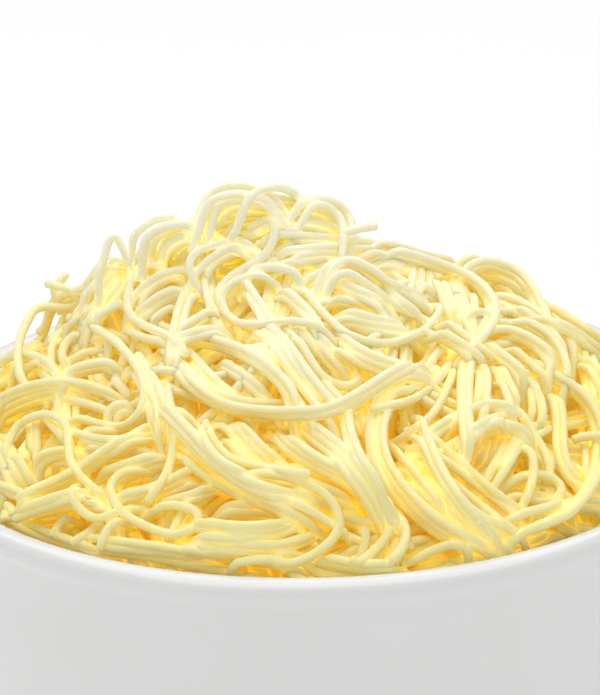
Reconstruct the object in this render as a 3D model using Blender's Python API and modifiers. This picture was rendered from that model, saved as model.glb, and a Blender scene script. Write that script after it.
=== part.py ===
"""A round white bowl heaped high with cooked capellini.

Sizes are in millimetres here and the objects come out in metres. The origin is under the middle
of the bowl's foot, +Z is up, and the diner sits on the -Y side with +X to their right.

The heap is a solid core with the strands that show lying on it and on one another. A place on the
heap is (u, v): measured from the crown along the surface, u towards +X and v towards +Y.
"""

import math

import bmesh
import bpy
import numpy as np

MM = 0.001
FITTING_GAP = 0.3
WELD_DISTANCE = 0.001

# Bowl
BOWL_HEIGHT = 62.0
RIM_R = 60.0
WALL = 3.3
WALL_SQUARENESS = 2.7
INSIDE_ROWS = 4
OUTSIDE_ROWS = 7
LIP_HALF_WIDTH = 2.15
LIP_HALF_HEIGHT = 2.3
LIP_TURN = math.radians(202)
LIP_ROWS = 6
FLOOR_TOP = 7.0
FOOT_R = 34.0
FOOT_WIDTH = 3.0
FOOT_SLOPE = 0.6
FOOT_RECESS = 2.4
BOWL_STEPS = 52

# Heap: a dome, lumps on it as (x, y, reach, height), and gentle waves all over
EDGE_R = 58.3
EDGE_BELOW_RIM = 2.0
CROWN_ABOVE_EDGE = 25.0
HEAP_FULLNESS = 2.1
LUMPS = {
    "top knot": (-4.5, 6.0, 13.0, 8.6),
    "left shoulder": (-24.5, 7.0, 11.5, 11.0),
    "left side": (-41.0, 3.0, 9.0, 6.0),
    "right side": (28.5, 4.0, 10.0, 5.5),
}
WAVE_COUNT = 12
WAVE_LENGTH = 14.0
WAVE_HEIGHT = 1.2
WAVE_SEED = 3
WAVES_FADE = 9.0
CORE_UNDER_SURFACE = 0.9
CORE_STEPS = 36
CORE_ROWS = 13
CORE_SIDE_BELOW_EDGE = 2.0
HEAP_TRIANGLES = 11600

# Capellini, swollen from the 1 mm it measures dry
NOODLE_R = 0.72
NOODLE_PITCH = 1.4
TOUCHING = 2.1 * NOODLE_R
SUNK = 0.25
BEDDED = 0.3
TUCK_DEPTH = 2.2
TUCK_LENGTH = 5.0
PATH_STEP = 0.7
SPAN_SAMPLES = 24
LONGEST_SEGMENT = 7.0
SEGMENT_TURN = math.radians(32)

# How a strand settles: samples across it, rounds, and the bell that its weight spreads over
CONTACTS = NOODLE_R * np.linspace(-0.9, 0.9, 5)
PRINTS = NOODLE_R * np.linspace(-0.95, 0.95, 7)
DROOP_ROUNDS = 6
DROOP_WIDTH = 3.0
PATH_BELL = 3.0

# The diner's view of the heap, on which the strands below are drawn
EYE_DISTANCE = 450.0
EYE_TILT = math.radians(20.2)
EYE_ROLL = math.radians(1.1)
VIEW_MIDDLE = np.array([-1.7, 0.0, BOWL_HEIGHT + 11.4])
SIGHT_SHARES = np.linspace(0.84, 1.16, 320)

# The place on the dome under a point is found in a few rounds, each going most of the way
DOME_ROUNDS = 4
DOME_STEP = 0.8

# The pile's height over the dome is kept on a square grid over (u, v)
GRID_HALF = 78.0
CELL = 0.6

# Strands as the diner sees them: how many lie side by side, then places across and up, in mm
DRAWN = {
    "rim left": (1, [(-31, -30.6), (-24, -31.6), (-16, -33.2), (-8, -34.4)]),
    "rim level": (2, [(-18, -28), (-11, -29), (-5, -29.2), (0.8, -25.5)]),
    "low hook": (1, [(11.2, -26.4), (14.3, -26.3), (16.3, -27.8), (16.5, -30.3), (12, -34.8)]),
    "far right lock": (2, [(19.5, -14.8), (28, -21.8), (36.5, -30.2)]),
    "near right lock": (1, [(19.8, -12), (20.5, -16), (25.3, -24.5), (32, -31.2)]),
    "right lock": (2, [(21.5, -4.5), (15, -8), (11.9, -15), (17.2, -25), (30, -32)]),
    "rim hook": (1, [(16, -34.3), (18.5, -32.7), (22, -31.3), (26.8, -32.6)]),
    "right edge": (1, [(37, -3.5), (45.6, -8), (46.8, -17), (41.5, -26), (36.5, -28.6)]),
    "upright right": (1, [(25.6, -3), (25.9, -8), (26.3, -13), (26.3, -18.8)]),
    "right shoulder": (1, [(26.5, 12), (35.3, 6.2), (41.3, -1.5), (42, -5)]),
    "right outline": (1, [(38, 5.8), (42, 3.4), (46, 0.8), (50, -3)]),
    "right arch": (1, [(24.5, 11), (27.5, 13.6), (34.7, 12.2), (38.2, 6.6), (41, 4.6)]),
    "centre lock": (2, [(-5.5, -11), (-1.8, -15.2), (4, -19.2), (15, -26.8)]),
    "centre slope": (1, [(-4, 4), (1.5, -1.5), (4.5, -6), (8, -9)]),
    "slope": (2, [(-20.8, -9), (-11, -18.3), (-5, -21.6), (4, -25.5)]),
    "front hook": (1, [(-7, -20), (-1, -21), (5.9, -25.6), (4, -31.8), (-2.7, -34.2), (1, -32.6)]),
    "inner arc": (1, [(-21.5, 1.6), (-9, -0.5), (-2, -7), (-0.3, -10.5)]),
    "sweep": (2, [(-21, 1.5), (-16, -7.5), (-4, -10.6), (8, -8.7), (20, -0.5)]),
    "left level": (1, [(-48, -9.5), (-43, -7.6), (-33, -7), (-28, -9.5)]),
    "fat lock": (2, [(-46, -25), (-37, -21.2), (-30.5, -16.8), (-27, -14)]),
    "hairpin": (1, [(-25, -17), (-29.8, -22.8), (-24.5, -28.6), (-17.2, -28.9), (-21, -24.6)]),
    "left upright": (1, [(-21.3, -3), (-20, -13), (-22.8, -21.8), (-25, -24)]),
    "left hook": (1, [(-36.3, 4.8), (-29.5, 1.2), (-24.4, -7), (-30, -12.9), (-35, -11.5)]),
    "left loop": (1, [(-16.3, 12.8), (-24.3, 12), (-27.1, 5.5), (-17.8, -0.9)]),
    "left top": (1, [(-38, 6.5), (-33.5, 9), (-30.5, 12.5), (-27, 15)]),
    "left outline": (1, [(-37.5, 9.2), (-43.6, 3.2), (-44, -5)]),
    "saddle": (1, [(9, 16), (14, 15.3), (20, 13.8), (26, 11.5)]),
    "shallow arch": (2, [(4.5, 11.8), (8, 12.8), (14.5, 8.5), (22, 4.2)]),
    "big U": (1, [(-0.6, 12.2), (5, 3.5), (12.5, 0.5), (20.3, 3.4), (21, 8.5)]),
    "free end": (1, [(21, 4.8), (27, 0.8), (30.6, -1.6)]),
    "knot arch": (2, [(-16.5, 19), (-13.5, 24), (-9, 25.6), (-4, 24.2), (0, 20)]),
    "knot side": (1, [(-2, 21.5), (4.8, 23.2), (8.2, 18), (7, 14.5)]),
}

# Rings as the diner sees them: middle across and up, half width and height, start and sweep in degrees
RINGS = {
    "lower left ring": (-41.2, -16.5, 5.2, 6.1, 190, -250),
    "top ring": (-10.8, 14.2, 6.6, 3.6, 40, -320),
    "centre ring": (-5.6, 7.8, 7.2, 4.2, -50, -300),
    "right ring": (25.2, 7.0, 5.6, 6.4, 110, -200),
    "low right ring": (36.3, -22.4, 5.0, 2.5, 190, -330),
}

# Of the drawn strands, those whose cut ends lie in the open
BLUNT = {"free end", "fat lock", "left hook"}

# The rest of the heap has strands placed by rule, where the drawn ones leave it bare
SCATTERED = 27
SCATTER_SEED = 5
SCATTER_TRIES = 60
SCATTER_LENGTHS = (34, 58)
SCATTER_ROOM = np.linspace(-6.0, 6.0, 7)
TIGHTEST_BEND = 8.0
SNAKING = 0.6
SNAKE_ARCS = (3, 7)


# ------------------------------------------------------------------ bowl
def wall_curve(low_r, top_r, low_z, top_z, rows):
    """A steep wall that rounds into a flat floor, from the floor's edge up."""
    angles = np.linspace(0, math.pi / 2, rows + 1)
    power = 2 / WALL_SQUARENESS
    r = low_r + (top_r - low_r) * np.sin(angles) ** power
    z = low_z + (top_z - low_z) * (1 - np.cos(angles) ** power)
    return list(zip(r, z))


def bowl_profile():
    """(radius, height) from the middle of the floor inside, over the lip and down to the foot."""
    lip_z = BOWL_HEIGHT - LIP_HALF_HEIGHT
    inside = wall_curve(FOOT_R - WALL, RIM_R, FLOOR_TOP, lip_z, INSIDE_ROWS)
    lip = []
    for row in range(1, LIP_ROWS + 1):
        angle = LIP_TURN * row / LIP_ROWS
        r = RIM_R + LIP_HALF_WIDTH * (1 - math.cos(angle))
        lip.append((r, lip_z + LIP_HALF_HEIGHT * math.sin(angle)))
    under_lip = lip_z - LIP_HALF_HEIGHT
    outside = wall_curve(FOOT_R, RIM_R + WALL, FOOT_RECESS + FOOT_SLOPE, under_lip, OUTSIDE_ROWS)
    foot = [
        (FOOT_R, 0.0),
        (FOOT_R - FOOT_WIDTH, 0.0),
        (FOOT_R - FOOT_WIDTH - FOOT_SLOPE, FOOT_RECESS),
        (0.0, FOOT_RECESS),
    ]
    return [(0.0, FLOOR_TOP)] + inside + lip + outside[::-1] + foot


def turned(name, profile, steps):
    """A solid of revolution about Z, as a mesh object with its Screw applied."""
    mesh = bpy.data.meshes.new(name)
    points = [(r * MM, 0.0, z * MM) for r, z in profile]
    mesh.from_pydata(points, [(i, i + 1) for i in range(len(points) - 1)], [])
    obj = bpy.data.objects.new(name, mesh)
    bpy.context.scene.collection.objects.link(obj)
    screw = obj.modifiers.new("turn", "SCREW")
    screw.steps = screw.render_steps = steps
    screw.use_merge_vertices = True
    screw.merge_threshold = WELD_DISTANCE * MM
    return realised(obj)


def realised(obj):
    """The object as a plain welded mesh, in place of its curve or modifiers."""
    bpy.context.view_layer.update()
    graph = bpy.context.evaluated_depsgraph_get()
    mesh = bpy.data.meshes.new_from_object(obj.evaluated_get(graph))
    shape = bmesh.new()
    shape.from_mesh(mesh)
    bmesh.ops.remove_doubles(shape, verts=shape.verts, dist=WELD_DISTANCE * MM)
    shape.to_mesh(mesh)
    shape.free()
    name = obj.name
    place = obj.matrix_world.copy()
    bpy.data.objects.remove(obj)
    made = bpy.data.objects.new(name, mesh)
    made.matrix_world = place
    bpy.context.scene.collection.objects.link(made)
    return made


# ------------------------------------------------------------------ the heap's plain shape
def dome_section():
    """Arc length from the crown, radius, height, and the outward normal's two parts."""
    r = np.linspace(0, EDGE_R + 5, 600)
    z = BOWL_HEIGHT - EDGE_BELOW_RIM + CROWN_ABOVE_EDGE * (1 - (r / EDGE_R) ** HEAP_FULLNESS)
    s = np.append(0, np.cumsum(np.hypot(np.diff(r), np.diff(z))))
    dr = np.gradient(r, s)
    dz = np.gradient(z, s)
    return s, r, z, -dz, dr


ARC, ARC_R, ARC_Z, NORMAL_R, NORMAL_Z = dome_section()
ARC_LIMIT = float(np.interp(RIM_R - 3 * FITTING_GAP - 2 * NOODLE_R, ARC_R, ARC))


def on_dome(uv, height):
    """Points in space, at a height over the dome."""
    s = np.hypot(uv[..., 0], uv[..., 1])
    turn = np.arctan2(uv[..., 1], uv[..., 0])
    r = np.interp(s, ARC, ARC_R) + height * np.interp(s, ARC, NORMAL_R)
    z = np.interp(s, ARC, ARC_Z) + height * np.interp(s, ARC, NORMAL_Z)
    return np.stack([r * np.cos(turn), r * np.sin(turn), z], -1)


def off_dome(points):
    """The (u, v) under points in space and their height over the dome."""
    r = np.hypot(points[..., 0], points[..., 1])
    s = np.interp(r, ARC_R, ARC)
    for _ in range(DOME_ROUNDS):
        along = (r - np.interp(s, ARC, ARC_R)) * np.interp(s, ARC, NORMAL_Z)
        along -= (points[..., 2] - np.interp(s, ARC, ARC_Z)) * np.interp(s, ARC, NORMAL_R)
        s = np.clip(s + DOME_STEP * along, 0, ARC[-1])
    height = (r - np.interp(s, ARC, ARC_R)) * np.interp(s, ARC, NORMAL_R)
    height += (points[..., 2] - np.interp(s, ARC, ARC_Z)) * np.interp(s, ARC, NORMAL_Z)
    turn = np.arctan2(points[..., 1], points[..., 0])
    return np.stack([s * np.cos(turn), s * np.sin(turn)], -1), height


def core_height(uv):
    """How far the core stands over the dome: lumps, and seeded waves that fade out by the wall."""
    place = on_dome(uv, 0.0)
    x = place[..., 0]
    y = place[..., 1]
    height = np.full(x.shape, -CORE_UNDER_SURFACE)
    for lump_x, lump_y, reach, most in LUMPS.values():
        height += most * np.exp(-((x - lump_x) ** 2 + (y - lump_y) ** 2) / reach**2)
    draw = np.random.default_rng(WAVE_SEED)
    waves = np.zeros(x.shape)
    for _ in range(WAVE_COUNT):
        heading, phase = draw.uniform(0, 2 * math.pi, 2)
        length = WAVE_LENGTH * draw.uniform(0.7, 1.4)
        along = x * math.cos(heading) + y * math.sin(heading)
        waves += np.sin(2 * math.pi * along / length + phase)
    inward = np.clip((EDGE_R - np.hypot(x, y)) / WAVES_FADE, 0, 1)
    return height + WAVE_HEIGHT * waves * inward / math.sqrt(WAVE_COUNT / 2)


# ------------------------------------------------------------------ laying strands
def grid_over_heap():
    line = np.arange(-GRID_HALF, GRID_HALF + CELL, CELL)
    return np.stack(np.meshgrid(line, line, indexing="ij"), -1)


pile = core_height(grid_over_heap()) - BEDDED


def cells(uv):
    index = np.rint((uv + GRID_HALF) / CELL).astype(int)
    index = np.clip(index, 0, len(pile) - 1)
    return index[..., 0], index[..., 1]


def smoothed(values, width):
    """Values along a path, averaged with a bell that is width samples wide."""
    half = int(3 * width)
    bell = np.exp(-0.5 * (np.arange(-half, half + 1) / width) ** 2)
    columns = values.reshape(len(values), -1)
    padded = np.pad(columns, ((half, half), (0, 0)), mode="edge")
    out = [np.convolve(column, bell / bell.sum(), "valid") for column in padded.T]
    return np.stack(out, -1).reshape(values.shape)


def read_at(path, measure, count):
    """The path at count + 1 places, evenly apart by a measure that grows along it."""
    at = np.linspace(0, measure[-1], count + 1)
    return np.stack([np.interp(at, measure, column) for column in path.T], -1)


def even_steps(path, step):
    """The path with its samples a step apart."""
    lengths = np.linalg.norm(np.diff(path, axis=0), axis=1)
    s = np.append(0, np.cumsum(lengths))
    return read_at(path, s, max(int(round(s[-1] / step)), 4))


def closer_in_bends(path):
    """The path with few samples, long steps where it is straight and short ones where it bends."""
    steps = np.diff(path, axis=0)
    lengths = np.linalg.norm(steps, axis=1)
    headings = steps / lengths[:, None]
    turns = np.arccos(np.clip((headings[:-1] * headings[1:]).sum(1), -1, 1))
    effort = lengths / LONGEST_SEGMENT + np.append(0, turns) / SEGMENT_TURN
    measure = np.append(0, np.cumsum(effort))
    return read_at(path, measure, max(int(round(measure[-1])), 3))


def through(points):
    """A smooth path through a few points, close to the curve a limp strand takes."""
    p = np.array(points, float)
    p = np.concatenate([[2 * p[0] - p[1]], p, [2 * p[-1] - p[-2]]])
    t = np.linspace(0, 1, SPAN_SAMPLES, endpoint=False)[:, None]
    pieces = []
    for a, b, c, d in zip(p, p[1:], p[2:], p[3:]):
        cubic = (3 * b - a - 3 * c + d) * t**3
        pieces.append((2 * b + (c - a) * t + (2 * a - 5 * b + 4 * c - d) * t**2 + cubic) / 2)
    return even_steps(np.concatenate(pieces + [p[-2:-1]]), PATH_STEP)


def sideways(uv):
    """Across the path on the heap's surface, one real millimetre long."""
    step = np.gradient(uv, axis=0)
    s = np.maximum(np.linalg.norm(uv, axis=1), 1e-6)
    out = uv / s[:, None]
    round_ = np.stack([-out[:, 1], out[:, 0]], -1)
    shrink = np.interp(s, ARC, ARC_R) / s
    outward = (step * out).sum(1)
    turning = shrink * (step * round_).sum(1)
    size = np.maximum(np.hypot(outward, turning), 1e-9)
    return (-turning / size)[:, None] * out + (outward / size / shrink)[:, None] * round_


def crossings(uv):
    """How far over its own earlier stretch each sample of a path must pass."""
    apart = np.linalg.norm(uv[:, None] - uv[None], axis=-1)
    sample = np.arange(len(uv))
    later = sample[:, None] - sample[None] > 3 * TOUCHING / PATH_STEP
    over = np.sqrt(np.maximum(TOUCHING**2 - apart**2, 0))
    return np.where(later & (apart < TOUCHING), over, -np.inf)


def draped(uv, least):
    """The height of a strand's centre along a path, resting on the pile and no lower than least."""
    across = sideways(uv)[:, None] * CONTACTS[:, None]
    under = pile[cells(uv[:, None] + across)]
    need = (under + np.sqrt(NOODLE_R**2 - CONTACTS**2)).max(1) - SUNK
    need = np.maximum(need, least)
    own = crossings(uv)
    height = need
    for _ in range(DROOP_ROUNDS):
        height = np.maximum(need, smoothed(height, DROOP_WIDTH))
        height = np.maximum(height, (height[None] + own).max(1))
    return smoothed(height, DROOP_WIDTH / 3)


def heap_up(uv, height):
    """Adds a laid strand to the pile."""
    fine = even_steps(np.column_stack([uv, height]), CELL / 2)
    across = sideways(fine[:, :2])[:, None] * PRINTS[:, None]
    rows, columns = cells(fine[:, None, :2] + across)
    np.maximum.at(pile, (rows, columns), fine[:, 2:] + np.sqrt(NOODLE_R**2 - PRINTS**2))


def inside_bowl(points, clearance):
    """The points, drawn in where they would come closer to the bowl's wall than the clearance."""
    r = np.hypot(points[:, 0], points[:, 1])
    points[:, :2] *= np.minimum(1, (RIM_R - clearance) / np.maximum(r, 1e-6))[:, None]
    return points


def seen_on_heap(drawn):
    """The (u, v) that each point of the diner's view falls on, and the height over the dome that
    it needs where the line of sight passes clear of the pile."""
    level = np.array([1.0, 0.0, 0.0])
    raised = np.array([0.0, math.sin(EYE_TILT), math.cos(EYE_TILT)])
    across = math.cos(EYE_ROLL) * level - math.sin(EYE_ROLL) * raised
    up = math.cos(EYE_ROLL) * raised + math.sin(EYE_ROLL) * level
    eye = VIEW_MIDDLE + EYE_DISTANCE * np.array([0.0, -math.cos(EYE_TILT), math.sin(EYE_TILT)])
    sight = VIEW_MIDDLE + drawn[:, :1] * across + drawn[:, 1:] * up - eye
    uv, height = off_dome(eye + sight[:, None] * SIGHT_SHARES[:, None])
    clear = height - pile[cells(uv)] - NOODLE_R
    enters = (clear[:, :-1] > 0) & (clear[:, 1:] <= 0)
    lands = enters.any(1)
    pick = np.where(lands, enters.argmax(1), clear.argmin(1))
    sample = np.arange(len(drawn))
    least = np.where(lands, -np.inf, height[sample, pick])
    return uv[sample, pick], least


def lay(strands, uv, least, tucked):
    """Adds the strand along uv to the strands and to the pile, its ends tucked into the pile or not."""
    far = np.linalg.norm(uv, axis=1)
    uv = uv * np.minimum(1, ARC_LIMIT / np.maximum(far, 1e-6))[:, None]
    height = draped(uv, least)
    if tucked:
        reach = min(int(TUCK_LENGTH / PATH_STEP), len(height) // 3)
        dive = TUCK_DEPTH * (1 + np.cos(np.linspace(0, math.pi, reach))) / 2
        height[:reach] -= dive
        height[-reach:] -= dive[::-1]
    heap_up(uv, height)
    strands.append(inside_bowl(on_dome(uv, height), 2 * FITTING_GAP + NOODLE_R))


def lay_drawn(strands, drawn, count, tucked=True):
    """Adds count strands side by side along a path of the diner's view."""
    step = np.gradient(drawn, axis=0)
    normal = np.stack([-step[:, 1], step[:, 0]], -1) / np.linalg.norm(step, axis=1)[:, None]
    for row in range(count):
        line = drawn + normal * NOODLE_PITCH * (row - (count - 1) / 2)
        uv, least = seen_on_heap(line)
        lay(strands, smoothed(uv, PATH_BELL), least, tucked)


def ring_path(across, up, half_width, half_height, start, sweep):
    angles = np.radians(start + np.linspace(0, sweep, 2 * SPAN_SAMPLES))
    ring = np.stack([across + half_width * np.cos(angles), up + half_height * np.sin(angles)], -1)
    return even_steps(ring, PATH_STEP)


def wandering(draw):
    """A seeded bent path somewhere on the heap."""
    s = ARC_LIMIT * math.sqrt(draw.uniform(0.02, 0.92))
    turn, heading = draw.uniform(0, 2 * math.pi, 2)
    count = int(draw.uniform(*SCATTER_LENGTHS) / PATH_STEP)
    bend = draw.uniform(-1, 1) + SNAKING * np.sin(np.linspace(0, draw.uniform(*SNAKE_ARCS), count))
    headings = heading + np.cumsum(bend) * PATH_STEP / TIGHTEST_BEND / (1 + SNAKING)
    steps = PATH_STEP * np.stack([np.cos(headings), np.sin(headings)], -1)
    return np.array([s * math.cos(turn), s * math.sin(turn)]) + np.cumsum(steps, 0)


def lay_scattered(strands):
    """Adds strands by rule, each with the most room round it of the places tried."""
    draw = np.random.default_rng(SCATTER_SEED)
    bare = pile.copy()
    for _ in range(SCATTERED):
        tried = []
        while len(tried) < SCATTER_TRIES:
            path = wandering(draw)
            if np.linalg.norm(path, axis=1).max() < ARC_LIMIT:
                tried.append(path)
        rooms = [path[:, None] + sideways(path)[:, None] * SCATTER_ROOM[:, None] for path in tried]
        built_up = [(pile - bare)[cells(room)].mean() for room in rooms]
        lay(strands, tried[int(np.argmin(built_up))], -np.inf, True)


# ------------------------------------------------------------------ solids
def tube(points, index):
    """One noodle: a poly curve with a round bevel and filled caps, as a mesh."""
    points = closer_in_bends(points)
    curve = bpy.data.curves.new(f"noodle_{index}", "CURVE")
    curve.dimensions = "3D"
    curve.bevel_depth = NOODLE_R * MM
    curve.bevel_resolution = 1
    curve.use_fill_caps = True
    spline = curve.splines.new("POLY")
    spline.points.add(len(points) - 1)
    for point, place in zip(spline.points, points):
        point.co = (*(place * MM), 1)
    obj = bpy.data.objects.new(f"noodle_{index}", curve)
    bpy.context.scene.collection.objects.link(obj)
    return realised(obj)


def core_profile():
    """(radius, height) from the core's crown to the bowl's wall and down along it to the floor."""
    core_r = RIM_R - FITTING_GAP
    arcs = np.linspace(0, np.interp(core_r, ARC_R, ARC), CORE_ROWS + 1)
    top = list(zip(np.interp(arcs, ARC, ARC_R), np.interp(arcs, ARC, ARC_Z)))
    lip_z = BOWL_HEIGHT - LIP_HALF_HEIGHT
    side = wall_curve(FOOT_R - WALL, core_r, FLOOR_TOP + FITTING_GAP, lip_z, INSIDE_ROWS)
    under = [point for point in side[::-1] if point[1] < top[-1][1] - CORE_SIDE_BELOW_EDGE]
    return top + under + [(0.0, FLOOR_TOP + FITTING_GAP)]


def core_solid():
    """The core: a turned dome that fills the bowl, with its top raised to the heap's uneven shape."""
    profile = core_profile()
    core = turned("capellini_heap", profile, CORE_STEPS)
    edge_z = profile[CORE_ROWS][1]
    for vertex in core.data.vertices:
        place = np.array(vertex.co) / MM
        if place[2] > edge_z - FITTING_GAP:
            uv, height = off_dome(place)
            raised = on_dome(uv, height + core_height(uv))
            vertex.co = inside_bowl(raised[None], FITTING_GAP)[0] * MM
    return core


def fused(core, noodles):
    """The noodles joined to the core by one union, with sealed hollows, scraps and slivers left out."""
    group = bpy.data.collections.new("noodles")
    for noodle in noodles:
        group.objects.link(noodle)
    union = core.modifiers.new("fuse", "BOOLEAN")
    union.operation = "UNION"
    union.operand_type = "COLLECTION"
    union.collection = group
    union.solver = "MANIFOLD"
    heap = realised(core)
    for noodle in noodles:
        bpy.data.objects.remove(noodle)
    bpy.data.collections.remove(group)
    shape = bmesh.new()
    shape.from_mesh(heap.data)
    keep_largest_shell(shape)
    split_into_triangles(shape)
    shape.to_mesh(heap.data)
    shape.free()
    thin_out = heap.modifiers.new("thin out", "DECIMATE")
    thin_out.ratio = min(1.0, HEAP_TRIANGLES / len(heap.data.polygons))
    return realised(heap)


def keep_largest_shell(shape):
    unseen = set(shape.faces)
    shells = []
    while unseen:
        front = [unseen.pop()]
        shell = []
        while front:
            face = front.pop()
            shell.append(face)
            around = {other for edge in face.edges for other in edge.link_faces} & unseen
            unseen -= around
            front.extend(around)
        shells.append(shell)
    shells.sort(key=len)
    spare = [face for shell in shells[:-1] for face in shell]
    bmesh.ops.delete(shape, geom=spare, context="FACES")


def split_into_triangles(shape):
    """Splits every face, with a new middle point where two faces would be cut along the same line."""
    for vertex in list(shape.verts):
        if len(vertex.link_edges) == 2:
            ends = [edge.other_vert(vertex) for edge in vertex.link_edges]
            if shape.edges.get(ends) is None:
                bmesh.ops.dissolve_verts(shape, verts=[vertex])
    shape.verts.index_update()
    trial = shape.copy()
    bmesh.ops.triangulate(trial, faces=trial.faces)
    crowded = [{v.index for v in edge.verts} for edge in trial.edges if len(edge.link_faces) > 2]
    trial.free()
    doubtful = []
    for face in shape.faces:
        corners = {v.index for v in face.verts}
        if len(corners) > 3 and any(pair <= corners for pair in crowded):
            doubtful.append(face)
    bmesh.ops.poke(shape, faces=doubtful)
    bmesh.ops.triangulate(shape, faces=shape.faces)


def material(name, colour, roughness):
    made = bpy.data.materials.new(name)
    made.use_nodes = True
    shader = made.node_tree.nodes["Principled BSDF"]
    shader.inputs["Base Color"].default_value = (*colour, 1)
    shader.inputs["Roughness"].default_value = roughness
    shader.inputs["Metallic"].default_value = 0.0
    return made


def make_bowl():
    bowl = turned("bowl", bowl_profile(), BOWL_STEPS)
    bowl.data.materials.append(material("white_glaze", (0.86, 0.86, 0.84), 0.12))
    bowl.data.shade_smooth()
    bowl.data.set_sharp_from_angle(angle=math.radians(40))
    return bowl


def make_heap():
    strands = []
    for name, (count, points) in DRAWN.items():
        lay_drawn(strands, through(points), count, name not in BLUNT)
    for ring in RINGS.values():
        lay_drawn(strands, ring_path(*ring), 1)
    lay_scattered(strands)
    noodles = [tube(points, index) for index, points in enumerate(strands)]
    heap = fused(core_solid(), noodles)
    heap.data.materials.clear()
    heap.data.materials.append(material("cooked_capellini", (0.9, 0.76, 0.4), 0.35))
    return heap


def main():
    for obj in list(bpy.data.objects):
        bpy.data.objects.remove(obj)
    parts = bpy.data.collections.new("bowl_of_capellini")
    bpy.context.scene.collection.children.link(parts)
    for obj in (make_bowl(), make_heap()):
        bpy.context.scene.collection.objects.unlink(obj)
        parts.objects.link(obj)


main()
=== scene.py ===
"""The looks of a white bowl heaped with cooked capellini.

Sizes are in millimetres here and the objects come out in metres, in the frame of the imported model.
The heap is over a thousand strands laid one after another. A strand follows a path over a plain
dome and settles on what lies there already. A place on the heap is (u, v): measured from the crown
along the dome's surface, u towards +X and v towards +Y.
"""

import math

import bpy
import numpy as np
from mathutils import Matrix, Vector


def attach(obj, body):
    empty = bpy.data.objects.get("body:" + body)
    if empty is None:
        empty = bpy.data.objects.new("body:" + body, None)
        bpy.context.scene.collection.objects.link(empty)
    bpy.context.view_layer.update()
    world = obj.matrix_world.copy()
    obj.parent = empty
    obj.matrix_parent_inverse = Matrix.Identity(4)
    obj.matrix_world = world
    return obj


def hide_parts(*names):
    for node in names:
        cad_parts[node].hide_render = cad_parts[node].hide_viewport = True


MM = 0.001

# Bowl
BOWL_HEIGHT = 62.0
RIM_R = 60.0
WALL = 3.3
WALL_SQUARENESS = 2.7
WALL_ROWS = 30
LIP_HALF_WIDTH = 2.15
LIP_HALF_HEIGHT = 2.3
LIP_TURN = math.radians(202)
LIP_ROWS = 24
FLOOR_TOP = 7.0
FOOT_R = 34.0
FOOT_WIDTH = 3.0
FOOT_SLOPE = 0.6
FOOT_RECESS = 2.4
BOWL_STEPS = 192

# Heap: a dome, lumps on it as (x, y, reach, height), and gentle waves all over. Paths run past the
# dome's edge by SUNK_REACH, as what lies under its surface there is nearer the axis.
EDGE_R = 58.3
EDGE_BELOW_RIM = 2.0
SUNK_REACH = 2.4
CROWN_ABOVE_EDGE = 25.0
HEAP_FULLNESS = 2.1
SECTION_PAST_EDGE = 5.0
SECTION_ROWS = 600
LUMPS = {
    "top knot": (-5.5, 6.0, 11.5, 9.0),
    "left shoulder": (-24.0, 7.0, 10.5, 8.5),
    "left side": (-36.0, 3.0, 8.0, 2.5),
    "right side": (28.5, 4.0, 9.0, 3.5),
}
WAVE_COUNT = 12
WAVE_LENGTH = 14.0
WAVE_SPREAD = (0.7, 1.4)
WAVE_HEIGHT = 1.2
WAVE_SEED = 3
WAVES_FADE = 9.0
CORE_DEPTH = 4.0
CORE_RINGS = 40
CORE_STEPS = 120

# Capellini. A path is sampled every PATH_STEP, and the shortest that are kept are in samples.
NOODLE_R = 0.69
PRESSED_R = 0.59
NOODLE_SPREAD = 0.04
WALL_CLEARANCE = 0.35
PATH_STEP = 0.5
SPAN_SAMPLES = 24
END_SAMPLES = 3
SHORTEST_PATH = 50
SHORTEST_STRAND = 24
TUCK_DEPTH = 3.4
TUCK_LENGTH = 7.0
LONGEST_RING_GAP = 2.2
RING_TURN = math.radians(13)
TOP_SIDES = 10
BED_SIDES = 7
CAP_ROUND = 0.16
CAP_SHARE = 0.7
FIRST_SIDE = (0.3, 0.2, 0.93)
TRIANGLES_A_PIECE = 190000

# How a strand settles: samples across it, rounds, and the bell that its weight spreads over
CONTACTS = PRESSED_R * np.linspace(-0.92, 0.92, 7)
PRINTS = PRESSED_R * np.linspace(-0.98, 0.98, 9)
DROOP_ROUNDS = 6
DROOP_WIDTH = 4.0
PATH_BELL = 4.0
SIGHT_ROUNDS = 3
COVER_WIDTH = 2.5

# The photo's view of the heap, on which the strands below are drawn
EYE_DISTANCE = 450.0
EYE_TILT = math.radians(20.18)
EYE_ROLL = math.radians(1.14)
VIEW_MIDDLE = np.array([-1.67, 0.0, BOWL_HEIGHT + 11.4])
VIEW_LENS = 147.7
SENSOR_WIDTH = 36
SIGHT_SHARES = np.linspace(0.82, 1.2, 400)

# Looks: painted shade, the pasta more golden from one depth to another in the heap, and painted light,
# where it pales with height
PAINTED_SHADE_BY_DEPTH = [
    (-0.5, 0.6, (0.965, 0.87, 0.38)),
    (0.6, 1.8, (0.97, 0.86, 0.31)),
    (1.8, 4.0, (0.965, 0.80, 0.20)),
]
# Painted light: the heights over which the pasta pales, as if lit from above
PAINTED_LIGHT_HEIGHTS = (70.0, 90.0)

# Stage, in metres and watts
FLOOR_HALF = 3.0
KEY_PLACE = (-0.05, 0.20, 1.60)
KEY_SIZE = 2.4
KEY_POWER = 25.0
WORLD_LIGHT = 0.5
LIGHT_BOUNCES = 16

# The place on the dome under a point is found in a few rounds, each going most of the way
DOME_ROUNDS = 4
DOME_STEP = 0.8

# The pile's height over the dome is kept on a square grid over (u, v)
GRID_HALF = 78.0
CELL = 0.4

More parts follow.
